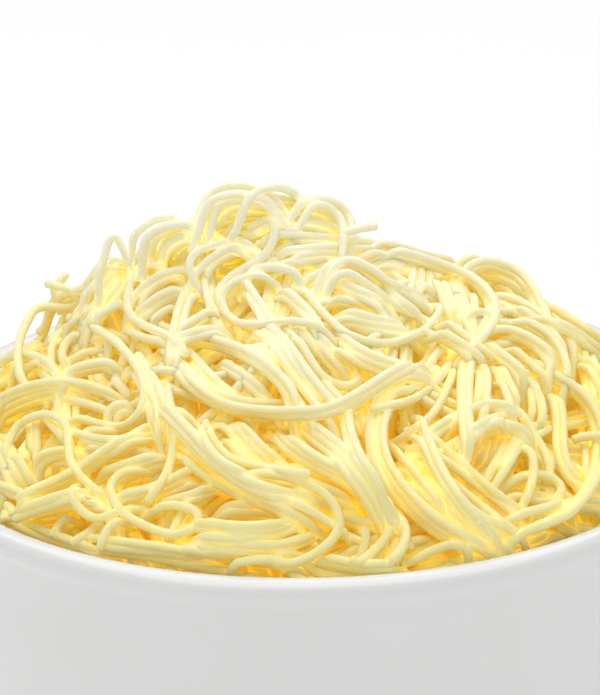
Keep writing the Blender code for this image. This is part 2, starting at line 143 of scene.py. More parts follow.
# The bed: locks of strands wandering over the heap, until it is filled to just under its surface.
# In front of DRAWN_BACK it is lower by DRAWN_ROOM, for the drawn strands that come on it. That
# begins over DRAWN_EDGE, and by the wall only the share DRAWN_WALL of it is left.
BED_SEED = 11
DRAWN_ROOM = 4.0
DRAWN_BACK = 34.0
DRAWN_EDGE = 14.0
DRAWN_WALL = 0.4
BED_TOP = -1.6
BED_TRIES = 40
BED_LOCKS = 700
BED_COUNTS = (2, 9)
BED_LENGTHS = (35, 100)
BED_BENDS = (9, 40)
BED_PITCHES = (1.2, 1.4)
BED_DRIFTS = (0.2, 0.8)

# Loose strands and small locks that lie over the bed, crossing it in tighter bends
LOOSE_SEED = 5
LOOSE_LOCKS = 80
LOOSE_TRIES = 12
LOOSE_COUNTS = (1, 4)
LOOSE_LENGTHS = (30, 80)
LOOSE_BENDS = (5, 16)
LOOSE_PITCH = 1.3
LOOSE_DRIFT = 0.4

# How seeded paths bend, how locks come apart, and how much a path's unevenness counts against it
BEND_SHARE = 0.6
BEND_DRIFT = 0.5
BEND_LENGTH = 22
LOCK_LENGTH = 18
LOCK_STAGGER = 6.0
UNEVENNESS = 0.6

# Strands as the camera sees them: how many lie side by side, and places across and up from the
# view's middle. They are laid in this order, the topmost last.
DRAWN = {
    # deep in the front
    "rim band": (3, [(-33, -31), (-28, -31.6), (-23, -32.2), (-17, -33.3), (-9, -34.7)]),
    "rim band 2": (2, [(-20, -30.6), (-13, -32.3), (-6, -33.4), (2, -34.8)]),
    "rim right": (2, [(1, -32.4), (5, -33.6), (10, -34.6), (15, -34.4)]),
    "rim far right": (3, [(24, -32.6), (30, -32), (36, -30.6), (42, -28)]),
    "rim far left": (2, [(-47, -25), (-43, -28.3), (-38, -30.3), (-33, -31.7)]),
    "level low": (2, [(-18, -30.4), (-11, -31.5), (-4, -31.6), (1.5, -30), (4, -27.5)]),
    "level top": (3, [(-15, -27.4), (-11, -26), (-6.5, -25.9), (-2, -26.6), (0.5, -28.2)]),
    "level": (3, [(-19, -28), (-15, -28.5), (-10, -29.1), (-5, -28.9), (-1.3, -27.5), (0.8, -25.3)]),
    "rim hump": (1, [(-12.5, -35), (-9, -33.9), (-5.5, -33.4), (-2, -33.9)]),
    "low right a": (2, [(3, -23.7), (7, -25.1), (12, -26)]),
    "low right b": (2, [(5.5, -26.5), (9, -27.6), (12.5, -28)]),
    "hook f5": (1, [(5.5, -28.8), (8, -30), (10.5, -30.9)]),
    "hook f3": (1, [(9.2, -28), (10.3, -29), (10.2, -31.3), (9.2, -33.6)]),
    "hook f2": (1, [
        (12.3, -26.9), (13.9, -28.3), (13.3, -30.3), (11.3, -32.3), (9.3, -33.9), (8.2, -33.3),
    ]),
    "hook f1": (1, [
        (11.6, -26.4), (14.2, -26.1), (16, -27.2), (16.7, -29.3), (16.1, -31.6), (14.2, -33.6),
        (11, -34.9),
    ]),
    # right side
    "right deep": (4, [(14, -19), (19, -24), (25, -28.5), (32, -31.3)]),
    "right fill": (4, [(19, -19.5), (23, -24), (28, -28), (34, -30.6)]),
    "centre deep": (4, [(-13.5, -10.5), (-10, -13.8), (-7, -17), (-3, -20)]),
    "centre deep 2": (4, [(-4, -17), (1, -20.3), (6, -22.4), (11, -25)]),
    "centre low": (3, [
        (-4.8, -12.2), (-1.4, -15.6), (3, -18.5), (7, -20.5), (11, -23.6), (15, -27.2),
    ]),
    "centre mid": (4, [
        (-1.5, -10.5), (2.8, -13.4), (6.4, -16.2), (9.4, -19.8), (12.8, -24), (15.6, -27.6),
    ]),
    "centre up": (2, [(7.2, -8.8), (7.5, -12.8), (9.1, -17), (11.8, -21), (15.3, -26)]),
    "centre edge": (1, [(8.8, -9), (10, -12.5), (11, -16)]),
    "right mid": (2, [(13.5, -13), (16, -16.2), (19.3, -19.8), (22.3, -23.3), (26, -27)]),
    "band behind": (3, [(17.5, -17), (21, -14.2), (25, -11.5), (29, -10.2)]),
    "band low": (2, [(21, -18), (23.5, -16.3), (26.5, -14.5)]),
    "right 3": (4, [
        (18.8, -14.6), (22.5, -17.9), (26, -20.8), (30, -24.1), (34, -27.2), (38.5, -30.6),
    ]),
    "right 2": (2, [
        (18.6, -11.8), (19.8, -15), (21.8, -19.3), (24.4, -23.3), (28, -27.1), (32.5, -30.4),
    ]),
    "arc single": (1, [
        (12.5, -13.6), (16.5, -13.4), (20, -11.5), (22.3, -8.4), (24, -4.4), (25.2, -0.5),
    ]),
    "right 1": (3, [
        (17.5, -5.8), (14.2, -7.6), (12.3, -10.8), (12.1, -15), (13.6, -19.2), (16.4, -23.2),
        (20.6, -27.3), (26, -30.8), (31, -32.4),
    ]),
    "right top": (1, [(11.2, -9.9), (14, -9.2), (18, -8.1), (21, -5.8), (23.4, -2.7), (25, 0.8)]),
    "right top b": (2, [(14, -6.6), (17.5, -6.2), (20, -4.2), (22.4, -1)]),
    "hook f4": (1, [
        (16.2, -34.1), (18.5, -33.3), (21.5, -31.8), (24.5, -31), (26.6, -31.8), (27.2, -33.2),
        (26.4, -34.6),
    ]),
    "far right a": (3, [(41, 3), (44.5, -0.5), (46, -5.5), (46.6, -10)]),
    "far right b": (3, [(46, -2), (49, -7), (50.5, -13), (50, -19)]),
    "inner curve": (2, [(40.2, -6.5), (41, -11), (41.2, -16.5), (42.8, -20.3), (45.5, -22)]),
    "inner low": (2, [(36, -26.5), (40, -25.5), (43, -23.5)]),
    "inside right a": (1, [(33, -2), (35.6, -5.5), (36.6, -9.2), (36.2, -13)]),
    "inside right": (1, [(34.3, -2.8), (37.1, -6.3), (38.3, -10), (37.7, -14.5)]),
    "outer": (2, [
        (35.5, -1.5), (39, -4), (42.5, -6.2), (45.4, -9), (46.9, -12.8), (47, -17.2), (45.7, -21.6),
        (43.2, -25), (39.5, -27.6), (35, -29),
    ]),
    "outer stub": (1, [(43.1, -14.6), (45.2, -14), (48.5, -13.9)]),
    "fan a": (2, [(32, -12.8), (30.9, -16), (29, -20)]),
    "fan b": (2, [(34.8, -13.6), (33, -17.2), (30.6, -21)]),
    "fan c": (1, [(29.6, -13), (29, -16), (27.8, -19)]),
    "fan arch": (2, [(26.8, -17.5), (28, -14.4), (31, -12.7), (34.2, -13.1), (36.4, -15.2)]),
    "cluster a": (2, [(26.4, -14.6), (28.4, -12.5), (31.2, -11.3), (34.2, -10.9)]),
    "cluster b": (2, [(25.6, -11.6), (28.3, -9.7), (31.5, -9.3), (35, -10.6)]),
    "cluster c": (2, [(27.8, -1.8), (28.9, -4.6), (28.7, -8.4)]),
    "cluster d": (1, [(29.5, -1.6), (31.3, -4.8), (31.8, -8.6)]),
    "cluster e": (2, [(32.3, -5), (33.5, -8), (34.2, -11)]),
    "upright": (2, [(26.5, -0.8), (26.1, -5), (26, -10), (26.4, -15), (26.3, -19.8)]),
    "ring low": (1, [
        (30.5, -22.6), (33.6, -20.9), (37, -20), (40, -20.8), (41.3, -22.5), (40, -24), (37, -24.3),
        (33.8, -23.4), (30.5, -23.6),
    ]),
    "hook right": (1, [
        (33, -14.6), (35.3, -14.4), (36.6, -16.6), (36.8, -20), (35.9, -23.4), (34.7, -26.8),
    ]),
    "long single": (1, [
        (33.8, -6), (35.2, -10.8), (37.3, -14.3), (39, -17.6), (39.6, -20.6), (38.4, -23.4),
    ]),
    # left side
    "left back": (3, [(-47, -3.5), (-44.5, -2), (-41.5, -2.5), (-38.5, -4.5)]),
    "far left": (1, [(-45, -6.5), (-43.4, -3.8), (-41.4, -2.4), (-39.4, -3.2)]),
    "left level": (4, [(-49, -10.5), (-45, -8.4), (-40.5, -7), (-35.5, -6.9), (-30, -8.4)]),
    "left mid a": (3, [(-49, -13.5), (-46, -17.5), (-44.5, -21.5)]),
    "ring lower in": (2, [(-42.2, -11), (-41.9, -15), (-42.3, -19)]),
    "ring lower in b": (1, [(-45.6, -16), (-43.6, -19), (-42, -22.4)]),
    "left bundle": (3, [(-42, -19.6), (-39.5, -17.6), (-36, -17.2), (-32, -17.6)]),
    "left mid b": (2, [(-48.5, -21.6), (-45.5, -22.6), (-42, -24.2)]),
    "left deep a": (3, [(-36, -15.8), (-31, -17), (-26, -16.6), (-21, -14.9)]),
    "left deep b": (3, [(-31, -20.8), (-26, -19), (-20.5, -17)]),
    "left deep c": (3, [(-29, -24.4), (-23, -23), (-17.5, -20.6), (-14, -18.6)]),
    "left deep d": (2, [(-21, -24.8), (-17, -23.6), (-12.5, -21.8)]),
    "left low a": (3, [(-47, -26.2), (-41, -25.5), (-35.5, -24.3), (-30, -24.6)]),
    "end 1": (1, [(-36, -26.2), (-37.7, -27.6), (-39.2, -29.8)]),
    "end 2": (1, [(-30.8, -27.2), (-33.4, -29.2), (-36.1, -31)]),
    "end 3": (1, [(-27.6, -26.6), (-30.3, -28.6), (-31.6, -31.8)]),
    "left arc 2": (2, [(-37, -14.6), (-32, -15.6), (-27.6, -14.8), (-23.5, -12.6)]),
    "left arc": (2, [(-37, -12.6), (-32, -13.8), (-27.8, -13.6), (-24, -11.4)]),
    "fat low": (2, [(-45.6, -26.6), (-41, -24.9), (-36.5, -23.4), (-32.5, -22.4)]),
    "fat": (2, [
        (-46.2, -25.1), (-41.5, -22.9), (-37, -20.9), (-33.8, -19), (-30.3, -16.5), (-25.8, -13.6),
    ]),
    "ring small": (1, [
        (-36, -18.6), (-36.1, -22.6), (-34.6, -25.7), (-31.8, -27), (-28.5, -25.9), (-24.5, -25.2),
        (-20.5, -24.9),
    ]),
    "ring lower b": (1, [(-42, -8.8), (-39.8, -11.5), (-37.8, -13.8), (-36, -16.4)]),
    "ring lower": (1, [
        (-46.5, -21), (-46.5, -16.3), (-44.7, -12.6), (-42, -10.9), (-39, -10.7), (-37, -12.2),
        (-36.5, -15), (-36.1, -18.2), (-34.2, -20.8), (-31.6, -23), (-28.6, -25.6),
    ]),
    "hairpin": (1, [
        (-22.5, -17.6), (-26.6, -19), (-29.4, -21), (-29.8, -23), (-28.1, -25.9), (-24.6, -28.3),
        (-20.6, -29.6), (-17.5, -28.9), (-15.9, -27), (-16.9, -25.6), (-19.8, -25.1), (-23.5, -25.6),
        (-27, -26.4),
    ]),
    "small arch in": (1, [(-29.2, -12.4), (-28.2, -10.4), (-26.4, -10.5)]),
    "small arch": (1, [(-30.8, -12.8), (-30.1, -10), (-28, -8.9), (-25.8, -9.9)]),
    "left wide": (3, [(-26, -2.5), (-23.8, -6), (-22.6, -10), (-22.6, -14)]),
    "upright left": (1, [
        (-22.2, -2.6), (-21, -6.5), (-20.2, -11), (-20, -15.5), (-21.1, -19.9), (-24.1, -24.4),
    ]),
    "drop": (1, [(-30.2, -4.4), (-28.2, -6.2), (-26.9, -8.1)]),
    # centre, over the front
    "slope low": (3, [
        (-20.5, -13.5), (-16.5, -17.6), (-12, -20.9), (-7, -23.4), (-2, -25.6), (3, -28.6),
    ]),
    "slope 1": (3, [
        (-20.8, -9.6), (-17.2, -13.2), (-13.4, -17), (-9, -20.3), (-4, -22.4), (1, -23.7), (5.5, -25.4),
    ]),
    "blunt": (1, [(-1.2, -24.4), (2, -26), (5, -27.9), (9.5, -30.6)]),
    "front hook": (1, [
        (-12, -17.8), (-7, -20.1), (-1.5, -20.8), (2.6, -22.3), (5.3, -24.8), (6.2, -27.6), (5, -30.6),
        (1.8, -33.2), (-1.5, -34.3), (-3.6, -33.7), (-3.3, -32.4), (-0.8, -32.2), (2.5, -32.9),
    ]),
    "slope 3": (1, [
        (-14.5, -9), (-14.3, -13.2), (-12.7, -16), (-9.9, -18), (-5.8, -18.9), (1.4, -20.1),
    ]),
    "slope 3 b": (1, [(-15.8, -9.4), (-15.4, -13.6), (-13, -17.4), (-9, -19.5), (-4, -20.2)]),
    "in gap a": (2, [(-18.5, -0.3), (-15, -4), (-12, -6.8), (-8, -8.6)]),
    "in gap b": (2, [(-12, -2.8), (-8.5, -5), (-5.8, -7.4), (-3.4, -9.6)]),
    "diag deep": (4, [(-10, 1.6), (-6, -0.6), (-2.4, -4.3), (0.5, -8.6), (2.5, -11.5)]),
    "diag b": (4, [(-6.5, 4.4), (-2.5, 0.6), (0.6, -3.8), (4, -8), (6.5, -10.5)]),
    "hook in": (3, [(-0.5, 4.6), (2.6, 1), (5.3, -2), (8.6, -5)]),
    "hook u": (1, [
        (-3.5, 4.4), (-0.4, 1.4), (1.5, -1.8), (3.6, -4.6), (6.6, -6.1), (9, -5.4), (9, -3.4), (7.4, -1),
    ]),
    "diag c": (3, [(3.2, 4), (6.6, 0.6), (10.5, -1.9), (15, -3.5), (21, -4.2)]),
    "inner arc": (2, [
        (-22, 1), (-17, 1.4), (-12, 0.3), (-8, -1.5), (-4.6, -4), (-2.1, -6.8), (-0.8, -11),
    ]),
    "sweep top": (1, [(-21, 2), (-18.6, -2.4), (-14.6, -6.2), (-9, -8.4), (-2.6, -8.9)]),
    "sweep": (2, [
        (-22.5, 3), (-20, -2), (-16.8, -6), (-12.5, -8.9), (-7.5, -10.1), (-1, -10.5), (4, -10),
        (8, -8.3), (12, -5.9), (16.5, -3.4), (21, -1.8),
    ]),
    "ring left up": (1, [(-30.6, 3), (-30.2, -1), (-30.9, -4.8)]),
    "ring left low": (2, [(-38.5, -5.6), (-35.5, -3.8), (-31.5, -2.9), (-28.5, -3.4)]),
    "ring left in": (1, [(-32.5, 2.6), (-35.8, 1.8), (-37.5, -0.6), (-37, -4)]),
    "ring left": (1, [(-32.5, 3.9), (-36.4, 3.4), (-38.8, 0.9), (-39.2, -2.4), (-37.6, -5.6)]),
    "left hook": (1, [
        (-36.5, 4.7), (-33.6, 3.7), (-30, 1.6), (-27.2, -1), (-25.2, -4.2), (-24.6, -7.4),
        (-25.5, -10.4), (-28, -12.4), (-31.6, -12.1), (-35.6, -10.8), (-40, -9.6),
    ]),
    # top
    "knot back": (5, [(-24, 14.5), (-18, 17.4), (-12, 19.4), (-5, 20.6), (2, 19.6)]),
    "knot back 2": (4, [(-14, 21.5), (-9, 22.6), (-3, 22.2), (3, 21.6), (7, 19)]),
    "knot mid": (3, [(-5.5, 20), (-1, 19.2), (4, 18.2), (8.5, 16.3)]),
    "knot low": (3, [(-5, 17), (0, 16.6), (5, 16.2), (11, 15.6)]),
    "knot low 2": (3, [(-4.5, 14.2), (0.5, 14.6), (5, 15), (9, 14.2)]),
    "saddle": (4, [(9, 15), (14, 14.8), (20, 13.2), (26, 12.2)]),
    "saddle deep": (3, [(11, 12.6), (14.5, 12.6), (17.5, 11), (22, 10.6)]),
    "saddle up a": (2, [(17.6, 13.6), (18.4, 11.6), (18.2, 9)]),
    "saddle up b": (2, [(20.6, 12.6), (21.2, 10.8), (21, 9)]),
    "right top mass": (4, [(24, 12), (28, 11.8), (32, 10.8), (35.5, 8.5)]),
    "right ribbon": (3, [(29.5, 7.4), (33.6, 6.6), (37.4, 4.4), (40.8, 1.2), (42.5, -3)]),
    "edge right": (3, [(37.5, 6.4), (41, 4.2), (44.5, 2), (48.5, -1)]),
    "right ribbon b": (2, [(30, 4.8), (34.5, 4.1), (38.6, 2), (41, -1.4), (41.6, -5)]),
    "shoulder b": (2, [(29.2, 2.6), (33.4, 2.4), (37, 0.7), (39.9, -1.9), (41, -5)]),
    "shoulder c": (1, [(31.6, 1.6), (34.6, -0.9), (37.5, -3.5), (41, -5.8)]),
    "shoulder d": (2, [(29, 0.8), (32, -1.6), (34.6, -4), (36, -7)]),
    "clump a": (2, [(24.4, 10.4), (25.4, 6.8), (27.4, 2.6)]),
    "clump b": (2, [(22.8, 9), (24, 6), (26, 3.8)]),
    "clump c": (1, [(26.6, 9.6), (27.6, 7), (27.2, 4)]),
    "clump d": (1, [(26.6, 5.4), (28.6, 5.6), (30.4, 5)]),
    "ring right": (2, [
        (11, 15.4), (16, 14.5), (20.6, 13.2), (25, 11.7), (28.3, 9.8), (30.3, 7), (30.1, 4.2),
        (28.4, 1.8), (25.8, -0.4),
    ]),
    "left top a": (3, [(-40, 5.4), (-36, 7.6), (-32, 8.8), (-27.5, 8)]),
    "left top b": (4, [(-37, 2.4), (-33, 5.4), (-29.5, 9.6), (-27, 13.5)]),
    "left top c": (3, [(-34, 8), (-31, 11.6), (-29, 15)]),
    "left top d": (1, [(-33.5, 4.3), (-30.8, 5.6), (-27, 8)]),
    "left in a": (2, [(-25.6, 4.4), (-22, 7.6), (-18.2, 9.4)]),
    "left in b": (1, [(-24.4, 3), (-21.6, 5.6), (-18.4, 6.8)]),
    "arc upleft in": (2, [(-22.6, 13.4), (-20.4, 16), (-17, 17.6), (-13, 18)]),
    "arc upleft": (1, [(-24.2, 12.4), (-23.7, 15.4), (-21.8, 17.9), (-18.4, 19.3), (-14, 19)]),
    "down left": (2, [(-16.2, 12.4), (-17.6, 9), (-18.9, 5.2), (-19.8, 1.4), (-20.2, -2)]),
    "ray": (1, [(-21.5, 1.3), (-17.2, 4), (-12, 7.2)]),
    "ray low": (2, [(-20, 0.8), (-15.6, 2.2), (-11, 2.6)]),
    "loop left b": (2, [(-26.8, 6), (-24, 9.4), (-20.6, 11.3), (-16.6, 11.8)]),
    "loop left c": (1, [(-27.8, 6.6), (-27.3, 3.2), (-24.8, 1.6), (-21.5, 1), (-18.5, 1.2)]),
    "loop left": (1, [
        (-19.5, 13.8), (-23.2, 13.9), (-25.9, 11.9), (-27.1, 8.6), (-26.9, 5.4), (-24.6, 3.5),
        (-21.6, 2.2), (-19.2, 0.6), (-17.9, -1.2),
    ]),
    "ring tl in": (2, [(-16, 11.6), (-13.6, 13.8), (-10.6, 15.4), (-6.5, 15.8)]),
    "ring tl": (1, [
        (-4.4, 16.8), (-8.5, 17.1), (-12.5, 16.4), (-15.7, 15.4), (-17.4, 13.6), (-16.9, 11.4),
        (-14.2, 10.2),
    ]),
    "in ring a": (2, [(-9.4, 10.6), (-7.4, 7.6), (-5.2, 4.4)]),
    "in ring b": (2, [(-5.4, 11), (-2.3, 8.6), (0.8, 5.6), (3, 2.6)]),
    "in u a": (3, [(2.4, 8), (7, 7.6), (11.5, 6.2), (16, 3.6)]),
    "in u b": (3, [(4, 5.2), (8.5, 4.4), (13, 3.2), (18, 2.4)]),
    "in u c": (3, [(1.6, 11), (5.4, 10.6), (10, 8.8), (15, 6)]),
    "ring top": (1, [
        (-8.6, 22.2), (-5.6, 22), (-4.1, 19.6), (-4.3, 16.8), (-5.8, 14.4), (-8.4, 12.7), (-11.2, 10.9),
        (-13, 8.6), (-12.9, 6.3), (-11, 4.4),
    ]),
    "ring centre b": (1, [(-10.5, 10.6), (-7.4, 12.2), (-4, 12.7), (-0.6, 11.7), (1.8, 9.6)]),
    "ring centre": (1, [
        (8, 2), (3.4, 3.4), (-1.5, 4.2), (-6, 3.7), (-9.6, 3.9), (-11.9, 5.8), (-12.1, 8.3),
        (-10.3, 10.3), (-7.2, 11.4), (-4, 11.4), (-1, 10),
    ]),
    "arch": (3, [(2, 9), (4.8, 12), (8, 12.7), (11.2, 10.9), (14.4, 8.5), (17.8, 6.3), (22, 4.6)]),
    "arch top": (1, [
        (2.4, 10.4), (5, 13), (8, 13.8), (11, 12.6), (14, 10.4), (17.6, 8.8), (20.6, 8.4), (22.4, 6.6),
    ]),
    "big u": (1, [
        (-1.4, 13), (0.6, 9.9), (2.4, 6.9), (4.5, 4.6), (7, 2.4), (10.5, 1), (14, 0.7), (17.5, 1.6),
        (20.5, 3.5), (22.1, 6), (21.4, 8), (18.4, 9.2),
    ]),
    "free right b": (2, [(19.5, 3.2), (23, 1.6), (26, -0.2), (28.6, -2)]),
    "free right": (1, [(20.6, 5.2), (24.2, 3.3), (27.2, 1), (30.4, -1.5)]),
    # arches and ends that stand out at the outline
    "stand d": (1, [(-28.6, 13.6), (-25.8, 18), (-22.4, 20.3), (-18.8, 20.3), (-16.5, 18.5)]),
    "stand d 2": (1, [(-26.5, 13.5), (-24.4, 17), (-21.5, 19), (-17.5, 19.6), (-14.5, 21.4)]),
    "stand e": (1, [(-33.4, 9.4), (-31.3, 13), (-30.1, 16.9), (-28.9, 17.4), (-27.6, 15)]),
    "stand a": (1, [
        (-18, 18.6), (-15.9, 22.2), (-13.2, 24.9), (-9.8, 25.6), (-6.4, 24.9), (-3, 23.1), (0.5, 20.8),
    ]),
    "stand a 2": (2, [(-16.4, 19.4), (-13.6, 22.8), (-10, 23.8), (-6, 23.2), (-2.5, 21.4)]),
    "stand b": (1, [(-11.5, 20.4), (-8.6, 23.4), (-5.4, 25.1), (-2.4, 25.1), (0.4, 23.3), (3, 20.6)]),
    "stand c": (1, [(-4, 21.4), (0, 22.9), (3.8, 23.3), (6.6, 22.1), (8, 19.8), (8, 17.2), (7.2, 14)]),
    "stand c 2": (1, [(-2, 20.4), (1.6, 22.4), (4.6, 22), (6.6, 19.4), (6.8, 16.4), (6, 13.6)]),
    "stub right": (1, [(5.5, 17.6), (8.8, 18.6), (12, 19.2)]),
    "stub left": (1, [(-39.4, 8.2), (-38.2, 9.9), (-36.9, 11.6)]),
    "stub left 2": (1, [(-35, 8.6), (-37.6, 9.5), (-40, 10.1)]),
    "stand left": (1, [
        (-37.4, 9.4), (-40.6, 7.4), (-43, 4.2), (-44.4, 0.4), (-44.3, -4), (-43, -7.5),
    ]),
    "edge bump": (1, [(24, 12.6), (26.9, 14.2), (29.5, 12.8)]),
    "edge arch": (2, [(25, 11.8), (29.6, 13.1), (33.9, 11.7), (36.2, 9.2), (37.9, 6.2), (40.6, 4.2)]),
}

# Their ends are tucked into the heap, but for these
FREE_STARTS = {
    "right top", "hook f4", "outer stub", "fat low", "fat", "blunt", "left hook",
}
FREE_ENDS = {
    "hook f3", "hook f2", "end 1", "end 2", "end 3", "upright left", "drop", "slope 3", "sweep top",
    "loop left", "free right", "stub right", "stub left", "stub left 2",
}

# How they lie side by side, and how much the heap's slope narrows that as the camera sees it
DRAWN_SEED = 21
DRAWN_PITCH = 1.22
DRAWN_DRIFT = 0.22
DRIFT_LENGTH = 12
VIEW_SLANT = 0.8
DRAWN_STAGGER = 5.0


# ---------------- bowl
def wall_curve(low_r, top_r, low_z, top_z):
    """A steep wall that rounds into a flat floor, from the floor's edge up."""
    angles = np.linspace(0, math.pi / 2, WALL_ROWS + 1)
    power = 2 / WALL_SQUARENESS
    r = low_r + (top_r - low_r) * np.sin(angles) ** power
    z = low_z + (top_z - low_z) * (1 - np.cos(angles) ** power)
    return list(zip(r, z))


def bowl_profile():
    """(radius, height) from the middle of the floor inside, over the lip and down to the foot."""
    lip_z = BOWL_HEIGHT - LIP_HALF_HEIGHT
    inside = wall_curve(FOOT_R - WALL, RIM_R, FLOOR_TOP, lip_z)
    lip = []
    for row in range(1, LIP_ROWS + 1):
        angle = LIP_TURN * row / LIP_ROWS
        r = RIM_R + LIP_HALF_WIDTH * (1 - math.cos(angle))
        lip.append((r, lip_z + LIP_HALF_HEIGHT * math.sin(angle)))
    under_lip = lip_z - LIP_HALF_HEIGHT
    outside = wall_curve(FOOT_R, RIM_R + WALL, FOOT_RECESS + FOOT_SLOPE, under_lip)
    foot = [
        (FOOT_R, 0.0),
        (FOOT_R - FOOT_WIDTH, 0.0),
        (FOOT_R - FOOT_WIDTH - FOOT_SLOPE, FOOT_RECESS),
        (0.0, FOOT_RECESS),
    ]
    return [(0.0, FLOOR_TOP)] + inside + lip + outside[::-1] + foot


def turned(profile, steps):
    """Points and faces of a profile turned about Z, given from the top inwards to the underside."""
    points = []
    faces = []
    rows = len(profile)
    for step in range(steps):
        turn = 2 * math.pi * step / steps
        following = (step + 1) % steps
        for r, z in profile:
            points.append((r * MM * math.cos(turn), r * MM * math.sin(turn), z * MM))
        for row in range(rows - 1):
            here = step * rows + row
            there = following * rows + row
            faces.append((here, there, there + 1, here + 1))
    return points, faces


# ---------------- the heap's plain shape
def dome_section():
    """Arc length from the crown, radius, height, and the outward normal's two parts."""
    r = np.linspace(0, EDGE_R + SECTION_PAST_EDGE, SECTION_ROWS)
    z = BOWL_HEIGHT - EDGE_BELOW_RIM + CROWN_ABOVE_EDGE * (1 - (r / EDGE_R) ** HEAP_FULLNESS)
    s = np.append(0, np.cumsum(np.hypot(np.diff(r), np.diff(z))))
    dr = np.gradient(r, s)
    dz = np.gradient(z, s)
    return s, r, z, -dz, dr


ARC, ARC_R, ARC_Z, NORMAL_R, NORMAL_Z = dome_section()
ARC_LIMIT = float(np.interp(RIM_R - WALL_CLEARANCE - NOODLE_R, ARC_R, ARC))
PATH_LIMIT = ARC_LIMIT + SUNK_REACH


def on_dome(uv, height):
    """Points in space, at a height over the dome."""
    s = np.hypot(uv[..., 0], uv[..., 1])
    turn = np.arctan2(uv[..., 1], uv[..., 0])
    r = np.interp(s, ARC, ARC_R) + height * np.interp(s, ARC, NORMAL_R)
    z = np.interp(s, ARC, ARC_Z) + height * np.interp(s, ARC, NORMAL_Z)
    return np.stack([r * np.cos(turn), r * np.sin(turn), z], -1)


def off_dome(points):
    """The (u, v) under points in space and their height over the dome."""
    r = np.hypot(points[..., 0], points[..., 1])
    s = np.interp(r, ARC_R, ARC)
    for _ in range(DOME_ROUNDS):
        along = (r - np.interp(s, ARC, ARC_R)) * np.interp(s, ARC, NORMAL_Z)
        along -= (points[..., 2] - np.interp(s, ARC, ARC_Z)) * np.interp(s, ARC, NORMAL_R)
        s = np.clip(s + DOME_STEP * along, 0, ARC[-1])
    height = (r - np.interp(s, ARC, ARC_R)) * np.interp(s, ARC, NORMAL_R)
    height += (points[..., 2] - np.interp(s, ARC, ARC_Z)) * np.interp(s, ARC, NORMAL_Z)
    turn = np.arctan2(points[..., 1], points[..., 0])
    return np.stack([s * np.cos(turn), s * np.sin(turn)], -1), height


def surface_height(uv):
    """How far the heap's surface stands over the dome: lumps, and seeded waves that fade by the wall."""
    place = on_dome(uv, 0.0)
    x = place[..., 0]
    y = place[..., 1]
    height = np.zeros(x.shape)
    for lump_x, lump_y, reach, most in LUMPS.values():
        height += most * np.exp(-((x - lump_x) ** 2 + (y - lump_y) ** 2) / reach**2)
    draw = np.random.default_rng(WAVE_SEED)
    waves = np.zeros(x.shape)
    for _ in range(WAVE_COUNT):
        heading, phase = draw.uniform(0, 2 * math.pi, 2)
        length = WAVE_LENGTH * draw.uniform(*WAVE_SPREAD)
        along = x * math.cos(heading) + y * math.sin(heading)
        waves += np.sin(2 * math.pi * along / length + phase)
    inward = np.clip((EDGE_R - np.hypot(x, y)) / WAVES_FADE, 0, 1)
    return height + WAVE_HEIGHT * waves * inward / math.sqrt(WAVE_COUNT / 2)


# ---------------- laying strands
def grid_over_heap():
    line = np.arange(-GRID_HALF, GRID_HALF + CELL, CELL)
    return np.stack(np.meshgrid(line, line, indexing="ij"), -1)


def bed_height(uv):
    """The surface that the bed fills: lower in front, to leave room for the strands drawn there."""
    behind = np.clip((uv[..., 1] - DRAWN_BACK + DRAWN_EDGE) / DRAWN_EDGE, 0, 1)
    inward = np.clip((ARC_LIMIT - np.linalg.norm(uv, axis=-1)) / DRAWN_EDGE, 0, 1)
    share = DRAWN_WALL + (1 - DRAWN_WALL) * inward
    return surface_height(uv) - DRAWN_ROOM * (1 - behind) * share


surface = bed_height(grid_over_heap())
pile = surface - CORE_DEPTH
strands = []


def cells(uv):
    index = np.rint((uv + GRID_HALF) / CELL).astype(int)
    index = np.clip(index, 0, len(pile) - 1)
    return index[..., 0], index[..., 1]


def smoothed(values, width):
    """Values along a path, averaged with a bell that is width samples wide."""
    half = int(3 * width)
    bell = np.exp(-0.5 * (np.arange(-half, half + 1) / width) ** 2)
    columns = values.reshape(len(values), -1)
    padded = np.pad(columns, ((half, half), (0, 0)), mode="edge")
    out = [np.convolve(column, bell / bell.sum(), "valid") for column in padded.T]
    return np.stack(out, -1).reshape(values.shape)


def read_at(path, measure, count):
    """The path at count + 1 places, evenly apart by a measure that grows along it."""
    at = np.linspace(0, measure[-1], count + 1)
    return np.stack([np.interp(at, measure, column) for column in path.T], -1)


def even_steps(path, step, measured=3):
    """The path with its samples a step apart in its first columns, the rest going along."""
    lengths = np.linalg.norm(np.diff(path[:, :measured], axis=0), axis=1)
    s = np.append(0, np.cumsum(lengths))
    return read_at(path, s, max(int(round(s[-1] / step)), 4))


def closer_in_bends(path):
    """The path with long steps where it is straight and short ones where it bends."""
    steps = np.diff(path, axis=0)
    lengths = np.linalg.norm(steps, axis=1)
    headings = steps / lengths[:, None]
    turns = np.arccos(np.clip((headings[:-1] * headings[1:]).sum(1), -1, 1))
    effort = lengths / LONGEST_RING_GAP + np.append(0, turns) / RING_TURN
    measure = np.append(0, np.cumsum(effort))
    return read_at(path, measure, max(int(round(measure[-1])), 3))


def through(points):
    """A smooth path through a few points, close to the curve a limp strand takes."""
    p = np.array(points, float)
    p = np.concatenate([[2 * p[0] - p[1]], p, [2 * p[-1] - p[-2]]])
    t = np.linspace(0, 1, SPAN_SAMPLES, endpoint=False)[:, None]
    pieces = []
    for a, b, c, d in zip(p, p[1:], p[2:], p[3:]):
        cubic = (3 * b - a - 3 * c + d) * t**3
        pieces.append((2 * b + (c - a) * t + (2 * a - 5 * b + 4 * c - d) * t**2 + cubic) / 2)
    return even_steps(np.concatenate(pieces + [p[-2:-1]]), PATH_STEP)


